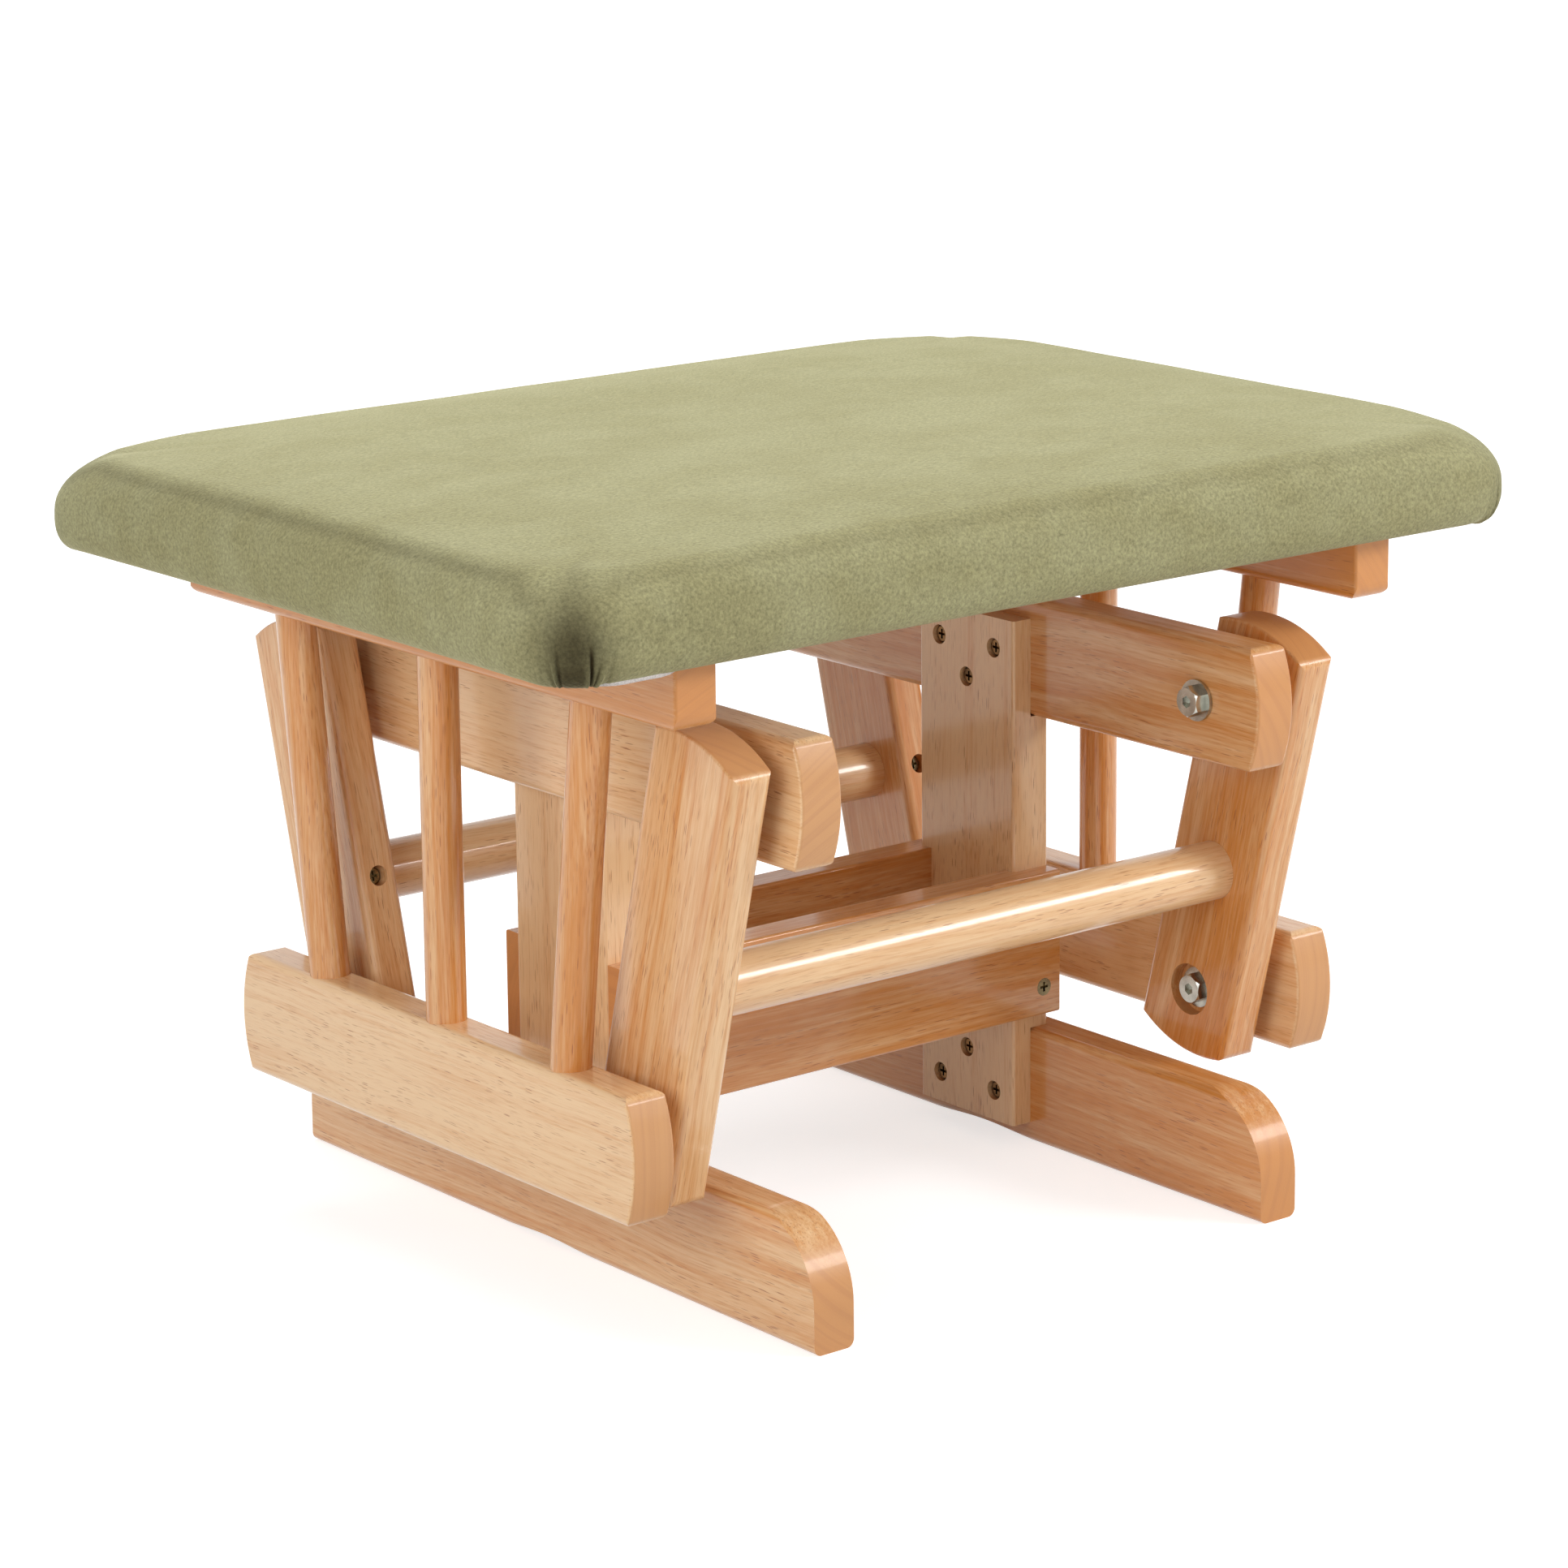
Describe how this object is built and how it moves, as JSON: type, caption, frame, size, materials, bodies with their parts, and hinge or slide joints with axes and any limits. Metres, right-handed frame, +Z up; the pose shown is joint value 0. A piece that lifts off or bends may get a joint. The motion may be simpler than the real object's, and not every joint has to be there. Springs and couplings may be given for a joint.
{
  "type": "glider ottoman",
  "caption": "Low glider ottoman: a padded rectangular top on slatted side frames that swings fore and aft on tilted wooden links hung from a fixed base.",
  "frame": {"origin": "on the floor, under the middle of the cushion", "axes": "+Z up; the seat glides along Y with its front towards -Y; the cushion's long side runs along X, with +X to the right"},
  "size_m": [0.5698, 0.4184, 0.365],
  "materials": {
    "lacquered_wood": "clear semi-gloss lacquer over pale straight-grained hardwood",
    "plywood": "bare",
    "velour": "soft short-pile velour",
    "foam": "open-cell foam",
    "lining": "thin pale non-woven cloth",
    "zinc_steel": "bright zinc plate",
    "bronzed_steel": "dark bronzed",
    "brass": "plain",
    "black_nylon": "moulded"
  },
  "bodies": {
    "base": {"floor_rail_left": "lacquered_wood", "floor_rail_right": "lacquered_wood", "post_left": "lacquered_wood", "post_right": "lacquered_wood", "hanger_rail_left": "lacquered_wood", "hanger_rail_right": "lacquered_wood", "stretcher_front": "lacquered_wood", "stretcher_rear": "lacquered_wood", "hanger_rail_screws": "bronzed_steel", "floor_rail_screws": "bronzed_steel", "stretcher_screws": "bronzed_steel", "upper_bush_left_front": "black_nylon", "upper_bush_left_rear": "black_nylon", "upper_bush_right_front": "black_nylon", "upper_bush_right_rear": "black_nylon"},
    "front_swing": {"link_left_front": "lacquered_wood", "link_right_front": "lacquered_wood", "cross_bar_front": "lacquered_wood", "bar_screws_front": "bronzed_steel", "upper_bolts_front": "zinc_steel", "upper_inserts_front": "brass", "upper_spacer_left_front": "black_nylon", "upper_spacer_right_front": "black_nylon", "lower_bush_left_front": "black_nylon", "lower_bush_right_front": "black_nylon"},
    "rear_swing": {"link_left_rear": "lacquered_wood", "link_right_rear": "lacquered_wood", "cross_bar_rear": "lacquered_wood", "bar_screws_rear": "bronzed_steel", "upper_bolts_rear": "zinc_steel", "upper_inserts_rear": "brass", "upper_spacer_left_rear": "black_nylon", "upper_spacer_right_rear": "black_nylon", "lower_bush_left_rear": "black_nylon", "lower_bush_right_rear": "black_nylon", "lower_bolts_rear": "zinc_steel", "lower_inserts_rear": "brass", "lower_spacer_left_rear": "black_nylon", "lower_spacer_right_rear": "black_nylon"},
    "seat": {"lower_bolts_front": "zinc_steel", "lower_inserts_front": "brass", "lower_spacer_left_front": "black_nylon", "lower_spacer_right_front": "black_nylon", "lower_rail_left": "lacquered_wood", "lower_rail_right": "lacquered_wood", "upper_rail_left": "lacquered_wood", "upper_rail_right": "lacquered_wood", "spindle_left_front": "lacquered_wood", "spindle_left_middle": "lacquered_wood", "spindle_left_rear": "lacquered_wood", "spindle_right_front": "lacquered_wood", "spindle_right_middle": "lacquered_wood", "spindle_right_rear": "lacquered_wood", "cushion_screws": "zinc_steel", "seat_board": "plywood", "cushion_foam": "foam", "cushion_cover": "velour", "dust_cover": "lining"}
  },
  "joints": [
    {"name": "front_swing_hinge", "type": "hinge", "parent": "base", "child": "front_swing", "pos_m": [0, -0.151, 0.2425], "axis": [1, 0, 0], "range_deg": [-15, 15]},
    {"name": "rear_swing_hinge", "type": "hinge", "parent": "base", "child": "rear_swing", "pos_m": [0, 0.151, 0.2425], "axis": [1, 0, 0], "range_deg": [-16, 16]},
    {"name": "seat_hinge", "type": "hinge", "parent": "front_swing", "child": "seat", "pos_m": [0, -0.1125, 0.089], "axis": [1, 0, 0], "range_deg": [-21, 21]}
  ],
  "couplings": [
    {"joint": "rear_swing_hinge", "follows": "front_swing_hinge", "ratio": 1},
    {"joint": "seat_hinge", "follows": "front_swing_hinge", "ratio": -1.3422}
  ]
}
